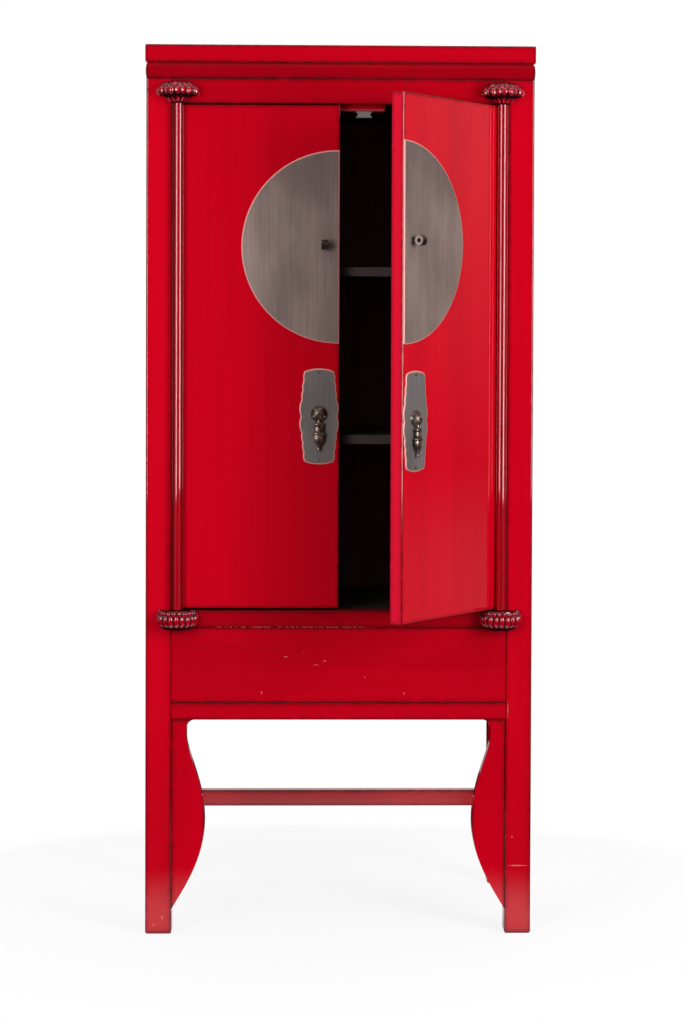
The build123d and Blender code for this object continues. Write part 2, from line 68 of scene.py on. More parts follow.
# %% Places on the cabinet
hinge = next(joint for joint in frame["joints"] if joint["name"] == "door_right_hinge")
OPEN_ANGLE = -radians(hinge["range_deg"][0])
PIVOT = Vector(hinge["pos_m"])
OPENED = Matrix.Translation(PIVOT) @ Matrix.Rotation(OPEN_ANGLE, 4, "Z") @ Matrix.Translation(-PIVOT)
MIRRORED = Matrix.Scale(-1, 4, (1, 0, 0))
FRAME_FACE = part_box("front_sill_rail")[0].y


def on_open_door(name):
    return body_of[name] in ("door_right", "pull_right")


def shut_box(name):
    """A piece's box, as if the right door were shut. It is the left piece's box, mirrored."""
    if not on_open_door(name):
        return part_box(name)
    low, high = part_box(name.replace("_right", "_left"))
    return Vector((-high.x, low.y, low.z)), Vector((-low.x, high.y, high.z))


print("the right door stands", round(degrees(OPEN_ANGLE), 1), "degrees open, its pivot at", PIVOT)

# %% [markdown]
# ## The camera
# A cabinet looks right from far away with a long lens, because its uprights then stay parallel. The camera
# stands at chest height, a little left of the middle. Tilting it down would make the legs lean, so it looks
# nearly level, and its lens is shifted down to hold the feet.

# %% Camera
LENS = 75.78
SHIFT_DOWN = 132.3 / 1024
STAND = (-0.088, -4.7669, 1.2734)
PITCH = radians(1.258)
YAW = radians(1.155)
ROLL = radians(0.206)

camera = bpy.data.objects.new("camera", bpy.data.cameras.new("camera"))
bpy.context.scene.collection.objects.link(camera)
camera.data.lens = LENS
camera.data.shift_y = -SHIFT_DOWN
camera.location = STAND
looking = Vector((sin(YAW) * cos(PITCH), cos(YAW) * cos(PITCH), -sin(PITCH)))
camera.rotation_mode = "QUATERNION"
camera.rotation_quaternion = looking.to_track_quat("-Z", "Y") @ Quaternion((0, 0, 1), ROLL)
bpy.context.scene.camera = camera
bpy.context.scene.view_settings.view_transform = "Standard"
print("the camera looks along", [round(c, 3) for c in looking])

# %% [markdown]
# ## Arithmetic for shaders
# A finish is a little program made of nodes. Wiring sums by hand is slow to read, so one class wraps a
# socket and gives it Python's operators: 1 - mask adds a Math node and hands back its output, wrapped again.

# %% Value: a socket that can be calculated with
class Value:
    """A number or vector inside a node tree."""

    def __init__(self, graph, socket):
        self.graph = graph
        self.socket = socket

    def math(self, operation, *sockets):
        return self.graph.node("ShaderNodeMath", {"operation": operation}, sockets)

    def __add__(self, other):
        return self.math("ADD", self, other)

    def __sub__(self, other):
        return self.math("SUBTRACT", self, other)

    def __rsub__(self, other):
        return self.math("SUBTRACT", other, self)

    def __mul__(self, other):
        return self.math("MULTIPLY", self, other)

    __radd__ = __add__
    __rmul__ = __mul__

    def least(self, other):
        return self.math("MINIMUM", self, other)

    def most(self, other):
        return self.math("MAXIMUM", self, other)

    def size(self):
        return self.math("ABSOLUTE", self)

    def ramp(self, start, stop):
        """0 at start, 1 at stop, with a soft step between them and level beyond. start may be the larger."""
        settings = {"interpolation_type": "SMOOTHSTEP"}
        if start < stop:
            return self.graph.node("ShaderNodeMapRange", settings, [self, start, stop, 0.0, 1.0])
        return self.graph.node("ShaderNodeMapRange", settings, [self, stop, start, 1.0, 0.0])

# %% [markdown]
# ## A graph of nodes
# The second class holds a node tree. Its node method adds any node: settings first, then the sockets by
# place or by name, each a plain value or the output of another node. The rest are short ways to add the
# nodes that come back in almost every finish.

# %% Graph: a node tree being built
class Graph:
    """A node tree, and short ways to add to it."""

    def __init__(self, tree):
        self.tree = tree

    def node(self, kind, settings=None, sockets=(), output=0):
        made = self.tree.nodes.new(kind)
        for setting, choice in (settings or {}).items():
            setattr(made, setting, choice)
        pairs = sockets.items() if isinstance(sockets, dict) else enumerate(sockets)
        for place, value in pairs:
            self.feed(made.inputs[place], value)
        return Value(self, made.outputs[output])

    def feed(self, socket, value):
        if isinstance(value, Value):
            self.tree.links.new(value.socket, socket)
        else:
            socket.default_value = value

    def vector(self, operation, *sockets, output=0):
        return self.node("ShaderNodeVectorMath", {"operation": operation}, sockets, output)

    def axes(self, vector):
        """The three parts of a vector."""
        part = self.node("ShaderNodeSeparateXYZ", {}, [vector]).socket.node
        return [Value(self, output) for output in part.outputs]

    def noise(self, vector, scale, stretch=(1, 1, 1), detail=2.0):
        """Soft noise around 0.5. scale is in blobs per metre, and a small stretch draws them out."""
        sockets = {"Vector": self.vector("MULTIPLY", vector, stretch), "Scale": scale, "Detail": detail}
        return self.node("ShaderNodeTexNoise", {}, sockets, "Fac")

    def mix(self, mask, first, second):
        """A colour between two colours."""
        return self.node("ShaderNodeMix", {"data_type": "RGBA"}, {0: mask, 6: first, 7: second}, 2)

# %% [markdown]
# ## A finish
# A finish is a material with its Principled shader at hand, so that its sockets can be fed by name. It can
# tell where on the piece a point lies and which way the surface looks there. Most patterns and most wear
# follow from those two.

# %% Finish: a material being mixed
class Finish(Graph):
    """A material, with its Principled shader."""

    def __init__(self, name):
        self.material = bpy.data.materials.new(name)
        self.material.use_nodes = True
        super().__init__(self.material.node_tree)
        self.shader = self.tree.nodes["Principled BSDF"]

    def set(self, **values):
        """Feed the shader's sockets. Base_Color stands for Base Color."""
        for name, value in values.items():
            self.feed(self.shader.inputs[name.replace("_", " ")], value)

    def point(self, turned=False):
        """The place on the piece in metres. turned gives it as if the right door were shut."""
        place = self.node("ShaderNodeTexCoord", output="Object")
        if not turned:
            return place
        settings = {"vector_type": "TEXTURE"}
        sockets = {"Vector": place, "Location": PIVOT, "Rotation": (0, 0, OPEN_ANGLE)}
        return self.vector("ADD", self.node("ShaderNodeMapping", settings, sockets), PIVOT)

    def facing(self, direction):
        """1 where the surface faces that way, 0 where it is square to it, -1 where it faces away."""
        normal = self.node("ShaderNodeTexCoord", output="Normal")
        return self.vector("DOT_PRODUCT", normal, direction, output="Value")

    def bump(self, height, depth):
        """A normal from a height of 0 to 1, that many metres deep."""
        return self.node("ShaderNodeBump", {}, {"Distance": depth, "Height": height})


def colour(red, green, blue):
    """A colour from the 0 to 255 that a paint program shows."""
    parts = [part / 255 for part in (red, green, blue)]
    return [p / 12.92 if p < 0.04045 else ((p + 0.055) / 1.055) ** 2.4 for p in parts] + [1.0]


def cover(name, finish):
    """Give a piece of the construction its finish."""
    slots = nodes[name].data.materials
    slots.clear()
    slots.append(finish.material)

# %% [markdown]
# ## Studio light
# Glossy lacquer shows what stands around it. Two tall soft boxes, left and right of the camera, draw the
# bright lines along the round rods. Each has a bright core inside a wide dim panel, as a lamp behind cloth
# has. The right one is stronger and stands further round, so the open door shades the shut one a little.

# %% Soft boxes
BOX_MIDDLE = Vector((0, FRAME_FACE, 1.62))
BOX_DISTANCE = 3.2
BOX_HEIGHT = 1.85
PANEL_WIDTH = 1.75
CORE_WIDTH = 0.5
CORE_NEARER = 0.02


def panel_of_light(name, azimuth, nearer, width, brightness):
    """A tall lamp that faces the cabinet. azimuth is in degrees to the right of straight in front."""
    lamp = bpy.data.lights.new(name, "AREA")
    lamp.shape = "RECTANGLE"
    lamp.size = width
    lamp.size_y = BOX_HEIGHT
    lamp.energy = brightness * pi * width * BOX_HEIGHT
    panel = bpy.data.objects.new(name, lamp)
    bpy.context.scene.collection.objects.link(panel)
    angle = radians(azimuth)
    outward = Vector((sin(angle), -cos(angle), 0))
    panel.location = BOX_MIDDLE + outward * (BOX_DISTANCE - nearer)
    panel.rotation_euler = outward.to_track_quat("Z", "Y").to_euler()
    panel.visible_camera = False
    print(name, "gives", round(lamp.energy), "watts")


for side, azimuth, dim, bright in (("left", -32, 2.9, 7.7), ("right", 46, 4.7, 10.2)):
    panel_of_light("soft_box_" + side, azimuth, 0, PANEL_WIDTH, dim)
    panel_of_light("core_" + side, azimuth, CORE_NEARER, CORE_WIDTH, bright)

# %% [markdown]
# ## The room
# The world is pale behind the cabinet and overhead, dim at the sides in front, and dark straight in front, so
# that flat faces keep their full colour. The camera sees plain white wherever nothing stands, and that costs
# the lacquer nothing, because only camera rays see it. A picture of a room could light it too, but a few
# ramps on the direction are lighter and simpler to change.

# %% World
ROOM = 0.9
FRONT_CORNERS = 0.2
FAR_FLOOR = 0.5
DARKEST = 0.008

world = bpy.data.worlds.new("studio")
bpy.context.scene.world = world
world.use_nodes = True
background = world.node_tree.nodes["Background"]
room = Graph(world.node_tree)
across, inward, upward = room.axes(room.node("ShaderNodeTexCoord", output="Generated"))
wall = upward.ramp(-0.12, 0.2)
far_floor = upward.ramp(-0.04, -0.12) * FAR_FLOOR
back_and_sides = inward.ramp(0.12, 0.5) * wall.most(far_floor)
ceiling = upward.ramp(0.3, 0.9)
front_corners = across.size().ramp(0.3, 0.55) * inward.ramp(-0.2, -0.5) * FRONT_CORNERS
level = back_and_sides.most(ceiling) * ROOM + front_corners + DARKEST
camera_ray = room.node("ShaderNodeLightPath", output="Is Camera Ray")
room.feed(background.inputs["Strength"], level.most(camera_ray))
background.inputs["Color"].default_value = (1, 1, 1, 1)
print("the room has", len(world.node_tree.nodes), "nodes")

# %% [markdown]
# ## The floor
# A round white floor holds the cabinet's shadow. Near its rim it fades into pure white light for the
# camera, so no edge shows. In the feet it shows as a pale reflection.

# %% Floor
FLOOR_RADIUS = 2.6
FLOOR_STEPS = 96
FADE_START = 0.62
FADE_END = 1.15
FADE_SQUEEZE = 1.35
FADE_WOBBLE = 0.2
FLOOR_LIFT = 0.83

mesh = bpy.data.meshes.new("floor")
disc = bmesh.new()
bmesh.ops.create_circle(disc, cap_ends=True, segments=FLOOR_STEPS, radius=FLOOR_RADIUS)
disc.to_mesh(mesh)
disc.free()
floor = bpy.data.objects.new("floor", mesh)
bpy.context.scene.collection.objects.link(floor)

paper = Finish("white_paper")
spot = paper.vector("MULTIPLY", paper.point(), (1, FADE_SQUEEZE, 0))
away = paper.vector("LENGTH", spot, output="Value") + (paper.noise(spot, 1.5) - 0.5) * FADE_WOBBLE
fade = away.ramp(FADE_START, FADE_END)
paper.set(Base_Color=colour(246, 246, 247), Roughness=0.8, Specular_IOR_Level=0.0)
seen = paper.node("ShaderNodeLightPath", output="Is Camera Ray")
glow = paper.node("ShaderNodeEmission", {}, {"Strength": seen})
lit = Value(paper, paper.shader.outputs[0])
surface = paper.node("ShaderNodeMixShader", {}, [fade.most(seen * FLOOR_LIFT), lit, glow])
paper.feed(paper.tree.nodes["Material Output"].inputs["Surface"], surface)
mesh.materials.append(paper.material)
print("the floor fades from", FADE_START, "to", FADE_END, "metres")

# %% [markdown]
# ## Red lacquer
# Chinese lacquer is many thin coats over dark undercoats and wood. Its red is deep and even, with faint clouds and
# brush lines along the grain. Hands and moving wear it at the edges: first to a dark brown line, and in places
# through to a pale ground. These are its colours, and three more are painted light: a painted reflection, a
# painted lit edge and a painted highlight.

# %% Colours of the lacquer
RED = colour(217, 3, 31)
DEEP_RED = colour(182, 1, 24)
DARK_EDGE = colour(52, 12, 12)
PALE_GROUND = colour(205, 118, 110)
# a painted reflection, for the stretcher at the back
PAINTED_REFLECTION_PINK = colour(206, 84, 86)
# painted light, for the free edge of the open door
PAINTED_LIT_RED = colour(255, 26, 60)
# a painted highlight, for the lower edge of the stop block
PAINTED_HIGHLIGHT_PINK = colour(236, 110, 120)
INSIDE_BLACK = colour(68, 51, 53)


def toned(shade, tone):
    """A darker or lighter colour of the same kind."""
    return [part * tone for part in shade[:3]] + [1.0]


print("the red in the light's own scale:", [round(part, 3) for part in RED[:3]])

# %% [markdown]
# The worn line needs to know how near an edge is. The shader's own pointiness depends on how finely a mesh
# is cut up, and these boards are only a few large faces. But most pieces are boxes, so the distance can be
# worked out from the box, and that gives a crisp line from any distance.

# %% Distance to the nearest edge
def edge_distance(finish, point, low, high):
    """Metres from a point on the surface of a box to the nearest edge of the box."""
    gaps = []
    for part, start, stop in zip(finish.axes(point), low, high):
        gaps.append((stop - start) / 2 - (part - (start + stop) / 2).size())
    x, y, z = gaps
    return x.least(y).most(x.most(y).least(z))

# %% [markdown]
# One class makes the lacquer for any straight piece. The clouds are large, the brush lines are noise drawn
# out along the piece, and both only nudge the red. The edge line is dark where the distance is small, and
# noise decides how wide it is, with a smoky margin where hands have rubbed. Chips are rare and small.

# %% Lacquer for a straight piece
GRAIN_STRETCH = 0.06
LINE_WEAR = 0.85
SMOKE_WEAR = 0.4
CHIP_WEAR = 0.6
FLAT_COAT = 0.12
ROD_COAT = 0.5


class Lacquer(Finish):
    """Red lacquer for a box-shaped piece between two corners."""

    def __init__(self, name, low, high, turned=False, tone=1.0):
        super().__init__("red_lacquer." + name)
        self.low = low
        self.turned = turned
        self.place = point = self.point(turned)
        spans = [stop - start for start, stop in zip(low, high)]
        grain = [GRAIN_STRETCH if span == max(spans) else 1.0 for span in spans]
        edge = edge_distance(self, point, low, high)
        clouds = self.noise(point, 6, grain, 4)
        brushed = self.noise(point, 160, [part ** 1.6 for part in grain], 3)
        depth = (clouds - 0.5) * 1.5 + (brushed - 0.5) * 0.4 + 0.35
        self.red = self.mix(depth.ramp(0.0, 1.0), toned(RED, tone), toned(DEEP_RED, tone))
        self.height = brushed * 0.5 + clouds
        self.ragged = self.noise(point, 55, detail=4)
        line = (edge - self.ragged * 3 * MM).ramp(1.7 * MM, -0.6 * MM) * LINE_WEAR
        smoke = (edge - self.ragged * 10 * MM).ramp(5 * MM, -4 * MM) * SMOKE_WEAR
        self.worn = line.most(smoke)
        flakes = self.noise(point, 240, detail=2)
        self.chips = (flakes - 0.74).ramp(0.0, 0.05) * edge.ramp(2.2 * MM, 1.2 * MM) * CHIP_WEAR

    def wear(self, mask, shade=DARK_EDGE):
        """Change the red's colour where the mask is 1."""
        self.red = self.mix(mask, self.red, shade)

    def chip(self, mask):
        """Lay the pale ground bare where the mask is 1."""
        self.chips = self.chips.most(mask)

    def mark(self, x, z, wide, high):
        """1 in a small ragged spot on a face that looks forwards. All in metres."""
        across, _, upward = self.axes(self.place)
        gone = ((across - x) * (1 / wide)).size() + ((upward - z) * (1 / high)).size()
        return (gone + (self.ragged - 0.5) * 1.6).ramp(1.1, 0.7)

    def done(self, coat):
        """Add the worn edges and the coat. coat is how unevenly it lies, in millimetres."""
        self.wear(self.worn)
        self.wear(self.chips, PALE_GROUND)
        self.set(
            Base_Color=self.red,
            Roughness=0.6,
            Specular_IOR_Level=0.0,
            Coat_Weight=1 - self.worn * 0.7,
            Coat_Roughness=0.05,
            Coat_IOR=1.6,
            Normal=self.bump(self.height, coat * MM),
        )
        return self

# %% [markdown]
# The case is black inside. Panels and rails change colour on the face that looks inwards, and the back legs
# do above the floor of the case, where they stand in its corners. One piece of wood with two colours needs
# no second material: the way that the surface faces is enough to tell them apart.

# %% Black on the inner faces
LEFTWARDS = (-1, 0, 0)
RIGHTWARDS = (1, 0, 0)
FORWARDS = (0, -1, 0)
BACKWARDS = (0, 1, 0)
DOWNWARDS = (0, 0, -1)
UPWARDS = (0, 0, 1)
INWARD = {
    "side_panel_left": RIGHTWARDS, "side_panel_right": LEFTWARDS, "side_top_rail_left": RIGHTWARDS,
    "side_top_rail_right": LEFTWARDS, "back_top_rail": FORWARDS, "front_top_rail": BACKWARDS,
    "top_panel": DOWNWARDS, "belly_panel": BACKWARDS,
}
CASE_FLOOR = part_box("floor_board")[1].z


def blacken_inside(finish, name):
    if name in INWARD:
        finish.wear(finish.facing(INWARD[name]).ramp(0.6, 0.8), INSIDE_BLACK)
    if name.startswith("leg_back"):
        _, _, upward = finish.axes(finish.place)
        middle = RIGHTWARDS if finish.low.x < 0 else LEFTWARDS
        inner = finish.facing(FORWARDS).most(finish.facing(middle)).ramp(0.6, 0.8)
        finish.wear(inner * upward.ramp(CASE_FLOOR, CASE_FLOOR + MM), INSIDE_BLACK)


print("black inside:", len(INWARD), "panels and rails, and the back legs above", round(CASE_FLOOR, 3))

# %% [markdown]
# Some pieces carry more history than others, and some carry painted light and shade. The sides of the rods are
# darkened, painted shade in the hollows beside them with some wear. The curved edges of the spandrels are worn. A
# spandrel isn't a box, so there a Bevel node finds the edges: it rounds the normal near them, and the bend against
# the true normal is the mask. It is slow, so only these two pieces use it.

# %% Painted shade on rods, wear on spandrels, painted reflection on the stretcher
def shaded_flanks(finish):
    """Painted shade: the rod's sides are darker than its front, the more on the shut door."""
    flank = finish.facing(FORWARDS) + (finish.ragged - 0.5) * 0.5
    # painted shade on the flanks, with a little wear
    finish.wear(flank.ramp(0.9, 0.6) * (0.2 if finish.turned else 0.6))


def worn_curve(finish):
    """A dark line along the curved edges."""
    true = finish.node("ShaderNodeNewGeometry", output="Normal")
    rounded = finish.node("ShaderNodeBevel", {"samples": 8}, {"Radius": 3.5 * MM})
    bend = 1 - finish.vector("DOT_PRODUCT", true, rounded, output="Value")
    finish.wear(bend.ramp(0.0, 0.12) * (0.6 + finish.ragged * 0.5))


def painted_stretcher_reflection(finish):
    """A pale pink over the stretcher at the back, a painted reflection."""
    # painted reflection
    finish.wear(0.4 + finish.ragged * 0.15, PAINTED_REFLECTION_PINK)

# %% [markdown]
# The front legs are darker towards the floor. The free edge of the open door is painted brighter, painted light,
# and hands have rubbed its corner pale. The stop block under the top rail has a painted highlight along its lowest
# millimetres, and the lower edge of the sill has been knocked and rubbed, so it is pale in places.

# %% Darker feet, painted light on the free edge, a painted highlight on the stop block, a rubbed sill
SILL_RUBBED = (-0.265, 0.06)
CORNER_FADES = (0.85, 1.0)


def darker_near_floor(finish):
    """Darker towards the floor from knee height, and a dark last centimetre."""
    _, _, upward = finish.axes(finish.place)
    finish.wear((upward + (finish.ragged - 0.5) * 0.2).ramp(0.6, -0.05) * 0.3)
    finish.wear((upward + (finish.ragged - 0.5) * 0.02).ramp(0.02, -0.004) * 0.45)


def lit_free_edge_and_worn_corner(finish):
    """Painted light on the narrow free edge, with the lacquer gone from its front corner on the upper half of the
    door.
    """
    free_edge = OPENED.to_3x3() @ Vector(LEFTWARDS)
    # painted light on the face of the free edge
    finish.wear(finish.facing(free_edge).ramp(0.6, 0.9) * 0.9, PAINTED_LIT_RED)
    across, inward, upward = finish.axes(finish.place)
    corner = (across - finish.low.x).most(inward - finish.low.y) + (finish.ragged - 0.5) * 3 * MM
    finish.chip(corner.ramp(2.2 * MM, 1.2 * MM) * upward.ramp(*CORNER_FADES) * 0.8)


def painted_highlight_underside(finish):
    """A painted highlight along the lower edge, 7 mm high at most."""
    _, _, upward = finish.axes(finish.place)
    lower = (upward - finish.low.z).ramp(7 * MM, 2 * MM)
    # painted highlight
    finish.wear(lower * (finish.ragged * 1.1).least(0.7), PAINTED_HIGHLIGHT_PINK)


def rubbed_sill(finish):
    """A broken pale line along the lower edge, left of the middle."""
    across, _, upward = finish.axes(finish.place)
    broken = finish.noise(finish.place, 130).ramp(0.44, 0.54)
    rubbed = (upward - finish.low.z).ramp(2.6 * MM, 1.2 * MM) * broken
    start, stop = SILL_RUBBED
    within = across.ramp(start, start + 0.02) * across.ramp(stop, stop - 0.02)
    finish.chip(rubbed * within * 0.55)

# %% [markdown]
# The belly and the front legs have a few small chips, each with its own place and size. The tones are how
# bright each piece stands beside its neighbours. They were tuned under these lamps, so they make up for the
# light as well as for lacquer that has stayed darker, and other lamps may ask for others. What isn't named
# has the plain red.

# %% Chips and tones
CHIPS = {
    "belly_panel": [
        (-0.112, 0.588, 6, 1.6), (-0.030, 0.579, 4, 2), (-0.163, 0.512, 2.4, 3), (0.138, 0.511, 2, 3.5),
        (-0.075, 0.596, 2, 1), (-0.048, 0.571, 7, 0.9), (0.055, 0.545, 1.4, 2.4),
    ],
    "leg_front_right": [(0.378, 0.145, 26, 1.4), (0.368, 0.206, 2.4, 2.2), (0.358, 0.478, 1.2, 20)],
    "leg_front_left": [(-0.372, 0.035, 1.6, 7), (-0.390, 0.020, 3, 1.6)],
}
TONES = {
    "front_sill_rail": 0.66, "front_top_rail": 0.76, "frieze_front": 0.56, "belly_panel": 0.86,
    "cap_front": 0.86, "front_apron_rail": 0.8, "spandrel_left": 0.85, "spandrel_right": 0.82,
    "door_leaf_left": 0.93, "door_leaf_right": 1.1, "back_stretcher": 0.75,
    "pivot_rod_left": 0.68, "pivot_rod_right": 0.68,
}
MARKS_AND_PAINTED_LIGHT = {
    "pivot_rod": shaded_flanks, "spandrel": worn_curve, "back_stretcher": painted_stretcher_reflection, "leg_front": darker_near_floor,
    "door_leaf_right": lit_free_edge_and_worn_corner, "stop_block": painted_highlight_underside, "front_sill_rail": rubbed_sill,
}
print("chips:", sum(len(spots) for spots in CHIPS.values()), "pieces with a tone of their own:", len(TONES))

# %% [markdown]
# Now every red piece gets its coat. The order is that of real life: the colour first, then what happened to it
# along with the painted light and shade, and the worn edges last, because they are the newest.

# %% Lacquer on every red piece
for name, slot in slot_of.items():
    if slot != "red_lacquer":
        continue
    low, high = shut_box(name)
    finish = Lacquer(name, low, high, on_open_door(name), TONES.get(name, 1.0))
    blacken_inside(finish, name)
    for start_of_name, add_marks in MARKS_AND_PAINTED_LIGHT.items():
        if name.startswith(start_of_name):
            add_marks(finish)
    for x, z, wide, high in CHIPS.get(name, []):
        finish.chip(finish.mark(x, z, wide * MM, high * MM) * 0.8)
    cover(name, finish.done(ROD_COAT if name.startswith("pivot_rod") else FLAT_COAT))
print("lacquered", sum(slot == "red_lacquer" for slot in slot_of.values()), "pieces")

# %% [markdown]
# ## Black lacquer
# The inside, the shelves and the back are finished in thin black lacquer, which is satin and slightly brown.
# The back got the thinnest coat, and more of the brown wood comes through.

# %% Black lacquer
ALONG_X = (0.08, 1, 1)
ALONG_Z = (1, 1, 0.08)

for name, slot in slot_of.items():
    if slot != "black_lacquer":
        continue
    along, brown = (ALONG_Z, 1.8) if name == "back_panel" else (ALONG_X, 1.0)
    black = Finish("black_lacquer." + name)
    streaks = black.noise(black.point(), 90, along, 4)
    darker = colour(34 * brown, 24 * brown, 25 * brown)
    paler = colour(56 * brown, 43 * brown, 43 * brown)
    black.set(
        Base_Color=black.mix(streaks, darker, paler),
        Roughness=0.45,
        Normal=black.bump(streaks, 0.1 * MM),
    )
    cover(name, black)
print("blackened", sum(slot == "black_lacquer" for slot in slot_of.values()), "pieces")

# %% [markdown]
# ## Bronze plates
# The plates are sheet brass that was blackened and brushed from top to bottom. The bevel around each was polished
# bright afterwards, and its pale pink is also a painted highlight. It is found by its slope: only there does the
# surface turn away from the face of the door. The moon plates are darker near their top.

# %% Plates
MOON_SHADES = (colour(109, 91, 86), colour(153, 132, 125))
HANDLE_SHADES = (colour(94, 88, 86), colour(128, 121, 118))
POLISHED_AND_HIGHLIGHT = colour(218, 152, 144)
DARKER_ABOVE = (1.5, 1.64)


def plate_metal(name, turned, dark, pale):
    """Blackened brass with a polished bevel, paler too as a painted highlight."""
    finish = Finish("aged_bronze." + name)
    point = finish.point(turned)
    face = OPENED.to_3x3() @ Vector(FORWARDS) if turned else Vector(FORWARDS)
    streaks = finish.noise(point, 200, (1, 1, 0.03), 4)
    patches = finish.noise(point, 13, (1, 1, 0.4), 4)
    _, _, upward = finish.axes(point)
    # the moon plates are darker near their top
    tone = (streaks - 0.5) * 0.5 + (patches - 0.5) * 1.3 + 0.5 - upward.ramp(*DARKER_ABOVE) * 0.35
    brown = finish.mix(tone.ramp(0.0, 1.0), dark, pale)
    bevel = finish.facing(face).ramp(0.985, 0.95)
    finish.set(
        # the bevel is polished, and its pale pink is also a painted highlight
        Base_Color=finish.mix(bevel, brown, POLISHED_AND_HIGHLIGHT),
        Metallic=0.25,
        Roughness=0.5,
        Normal=finish.bump(streaks, 0.03 * MM),
    )
    return finish


for name, slot in slot_of.items():
    if slot == "aged_bronze":
        shades = MOON_SHADES if name.startswith("moon") else HANDLE_SHADES
        cover(name, plate_metal(name, on_open_door(name), *shades))
        print("brushed", name)

# %% [markdown]
# ## Dark bronze
# Bosses, drops, eyes and nails are cast and nearly black, with paler patches where the black has gone. The lock
# eyes are sooty, and the flat faces of their rings are painted bright, a painted highlight. Those faces look along
# the bore, and the ring ends where the distance from the bore's axis passes its radius.

# %% Cast bronze
EYE_RADIUS = 10.5 * MM


def patchy(finish, dark, pale):
    """Old dark metal with paler patches."""
    return finish.mix(finish.noise(finish.point(), 90, detail=2).ramp(0.35, 0.75), dark, pale)


def cast_bronze(finish, metal):
    """Give a finish the metal's colour, its shine and the grit of its casting."""
    grit = finish.noise(finish.point(), 500, detail=4)
    finish.set(
        Base_Color=metal,
        Metallic=0.85,
        Roughness=0.26 + grit * 0.18,
        Normal=finish.bump(grit, 0.12 * MM),
    )
    return finish


def lock_eye(name):
    """Sooty all over, with a painted highlight on the flat faces of the ring."""
    turned = on_open_door(name)
    low, high = shut_box(name)
    finish = Finish("dark_bronze." + name)
    bore_way = OPENED.to_3x3() @ Vector(RIGHTWARDS) if turned else Vector(RIGHTWARDS)
    bore = (0, low.y + EYE_RADIUS, (low.z + high.z) / 2)
    beside_bore = finish.vector("MULTIPLY", finish.point(turned), (0, 1, 1))
    from_bore = finish.vector("DISTANCE", beside_bore, bore, output="Value")
    ring = from_bore.ramp(EYE_RADIUS, EYE_RADIUS - MM)
    # painted highlight on the flat faces of the ring
    rubbed = finish.facing(bore_way).size().ramp(0.5, 0.85) * ring
    sooty = patchy(finish, colour(40, 26, 28), colour(96, 80, 78))
    return cast_bronze(finish, finish.mix(rubbed * 0.85, sooty, colour(232, 214, 210)))


cast = Finish("dark_bronze")
cast_bronze(cast, patchy(cast, colour(84, 70, 63), colour(158, 138, 126)))
for name, slot in slot_of.items():
    if slot == "dark_bronze":
        cover(name, lock_eye(name) if name.startswith("lock_eye") else cast)
print("cast pieces:", sum(slot == "dark_bronze" for slot in slot_of.values()))

# %% [markdown]
# ## Steel
# The catches, their strike plates and the pins of the pulls are zinc-coated steel. Zinc grows in crystals
# that show as faint spangles, so one noise tints the metal and roughens it too.

# %% Zinc-coated steel
steel = Finish("steel")
spangle = steel.noise(steel.point(), 320, detail=2)
steel.set(
    Base_Color=steel.mix(spangle, colour(150, 148, 145), colour(196, 194, 190)),
    Metallic=0.9,
    Roughness=0.28 + spangle * 0.15,
)
for name, slot in slot_of.items():
    if slot == "steel":
        cover(name, steel)
print("steel pieces:", sum(slot == "steel" for slot in slot_of.values()))

# %% [markdown]
# ## Making a piece
# Carved and cast pieces are modelled in millimetres as a bmesh, Blender's mesh workshop, and then scaled to
# metres and put in place. A turned shape starts as a few points that are spun round an axis, as on a lathe.
# The place goes into the mesh, and the object itself stays at the origin like those of the construction.

# %% Tools for modelled pieces
TO_METRES = Matrix.Scale(MM, 4)
SAME_POINT = 0.002 * MM
SHARP = radians(40)


def lathe(shape, profile, steps):
    """Spin (radius, height) points round the upright axis."""
    points = [shape.verts.new((radius, 0, height)) for radius, height in profile]
    lines = [shape.edges.new(pair) for pair in zip(points, points[1:])]
    bmesh.ops.spin(
        shape, geom=points + lines, axis=(0, 0, 1), cent=(0, 0, 0), angle=2 * pi, steps=steps,
        use_merge=True,
    )


def piece(name, shape, places, node, finish):
    """Make the shape an object in place of a node of the construction, on the same body."""
    for place in places:
        bmesh.ops.transform(shape, matrix=place, verts=shape.verts)
    bmesh.ops.remove_doubles(shape, verts=shape.verts, dist=SAME_POINT)
    bmesh.ops.recalc_face_normals(shape, faces=shape.faces)
    for face in shape.faces:
        face.smooth = True
    mesh = bpy.data.meshes.new(name)
    shape.to_mesh(mesh)
    shape.free()
    mesh.set_sharp_from_angle(angle=SHARP)
    mesh.materials.append(finish.material)
    made = bpy.data.objects.new(name, mesh)
    bpy.context.scene.collection.objects.link(made)
    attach(made, body_of[node])
    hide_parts(node)
    print(name, "has", len(mesh.polygons), "faces")

# %% [markdown]
# ## Lotus sockets
# Each pivot turns in a lotus blossom that was carved apart and fixed to the frame: twenty fat petals around
# a cup, a second row behind them, and a small calyx below. They could be sculpted one by one, but a carver's
# petals are nearly alike. So one petal is an egg, drawn out and bent, and the rest are copies of it, spun
# round the axis. A last step moves them a little, because no two were carved quite the same.

# %% Petals
def egg(shape, crest, radii, foot, lean, curl, narrow):
    """An egg that stands at foot = (radius, height). Its top leans outwards, curls and narrows."""
    half_width, half_depth, half_height = radii
    made = bmesh.ops.create_uvsphere(shape, u_segments=14, v_segments=10, radius=1)["verts"]
    for vert in made:
        x, y, z = vert.co
        vert[crest] = max(0.0, y)
        rise = max(0.0, z)
        full = sqrt(1 + z * z)
        vert.co.x = x * full * half_width * (1 - narrow * rise * rise)
        vert.co.y = y * full * half_depth + foot[0] + lean * z - curl * z * z
        vert.co.z = z * half_height + foot[1]
    return made


